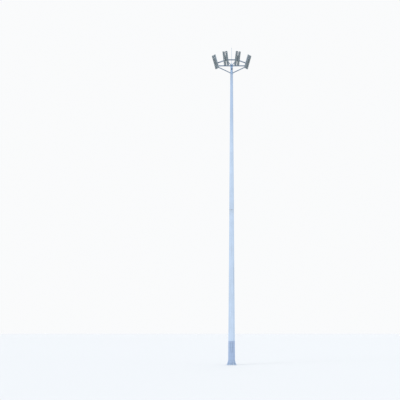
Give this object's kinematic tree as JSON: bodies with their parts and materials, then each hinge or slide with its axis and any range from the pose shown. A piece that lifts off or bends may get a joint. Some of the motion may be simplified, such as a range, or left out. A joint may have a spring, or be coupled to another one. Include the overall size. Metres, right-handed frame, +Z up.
{
  "type": "street light",
  "caption": "Tall octagonal street light mast with a half-octagon head frame that carries adjustable twin-strip LED lamps, a lightning rod and a hinged service door.",
  "frame": {"origin": "centre of the underside of the base flange, on the ground", "axes": "+Z up along the mast, -Y towards the side that the lamps and the service door face, +X to the right seen from that side"},
  "size_m": [2.0242, 1.2629, 15.9475],
  "materials": {
    "pole_paint": "pale blue-white sprayed coating over galvanised steel, satin",
    "base_coating": "slightly darker textured protective coating, matt",
    "head_paint": "blue-grey sprayed coating, satin",
    "hinge_steel": "painted weld-on hinges",
    "lock_brass": "bright plated lock",
    "rod_steel": "galvanised rod",
    "outlet_rubber": "dark rubber bushing",
    "lamp_aluminium": "grey anodised fins",
    "lens_plastic": "clear lens covers over grey boards",
    "lamp_casting": "dark grey cast block",
    "lamp_housing": "light grey powder-coated housing",
    "bolt_steel": "stainless bolt"
  },
  "bodies": {
    "mast": {"base_flange": "pole_paint", "base_ribs": "pole_paint", "base_section": "base_coating", "door_frame": "pole_paint", "door_hinge_posts": "hinge_steel", "lower_pole": "pole_paint", "upper_pole": "pole_paint", "pole_collar": "pole_paint", "head_post": "head_paint", "hub": "head_paint", "lightning_rod": "rod_steel", "cable_outlet": "outlet_rubber", "ring_sides": "head_paint", "ring_diagonals": "head_paint", "ring_front": "head_paint", "ring_chord": "head_paint", "radial_arms": "head_paint", "head_struts": "head_paint", "lamp_1_ear": "head_paint", "lamp_2_ear": "head_paint", "lamp_3_ear": "head_paint", "lamp_4_ear": "head_paint"},
    "door": {"service_door": "base_coating", "door_lock": "lock_brass"},
    "lamp_1": {"lamp_1_heat_sinks": "lamp_aluminium", "lamp_1_light_modules": "lens_plastic", "lamp_1_centre_body": "lamp_casting", "lamp_1_driver_box": "lamp_housing", "lamp_1_tilt_bolt": "bolt_steel"},
    "lamp_2": {"lamp_2_heat_sinks": "lamp_aluminium", "lamp_2_light_modules": "lens_plastic", "lamp_2_centre_body": "lamp_casting", "lamp_2_driver_box": "lamp_housing", "lamp_2_tilt_bolt": "bolt_steel"},
    "lamp_3": {"lamp_3_heat_sinks": "lamp_aluminium", "lamp_3_light_modules": "lens_plastic", "lamp_3_centre_body": "lamp_casting", "lamp_3_driver_box": "lamp_housing", "lamp_3_tilt_bolt": "bolt_steel"},
    "lamp_4": {"lamp_4_heat_sinks": "lamp_aluminium", "lamp_4_light_modules": "lens_plastic", "lamp_4_centre_body": "lamp_casting", "lamp_4_driver_box": "lamp_housing", "lamp_4_tilt_bolt": "bolt_steel"}
  },
  "joints": [
    {"name": "door_hinge", "type": "hinge", "parent": "mast", "child": "door", "pos_m": [-0.046, -0.16344, 0.83005], "axis": [0, -0.0067, -1], "range_deg": [0, 110]},
    {"name": "lamp_1_tilt", "type": "hinge", "parent": "mast", "child": "lamp_1", "pos_m": [-0.79861, -0.39266, 14.92], "axis": [0.6441, -0.765, 0], "range_deg": [-18, 24]},
    {"name": "lamp_2_tilt", "type": "hinge", "parent": "mast", "child": "lamp_2", "pos_m": [-0.28719, -0.81458, 14.92], "axis": [0.9403, -0.3404, 0], "range_deg": [-18, 24]},
    {"name": "lamp_3_tilt", "type": "hinge", "parent": "mast", "child": "lamp_3", "pos_m": [0.28719, -0.81458, 14.92], "axis": [0.9403, 0.3404, 0], "range_deg": [-18, 24]},
    {"name": "lamp_4_tilt", "type": "hinge", "parent": "mast", "child": "lamp_4", "pos_m": [0.79861, -0.39266, 14.92], "axis": [0.6441, 0.765, 0], "range_deg": [-18, 24]}
  ]
}
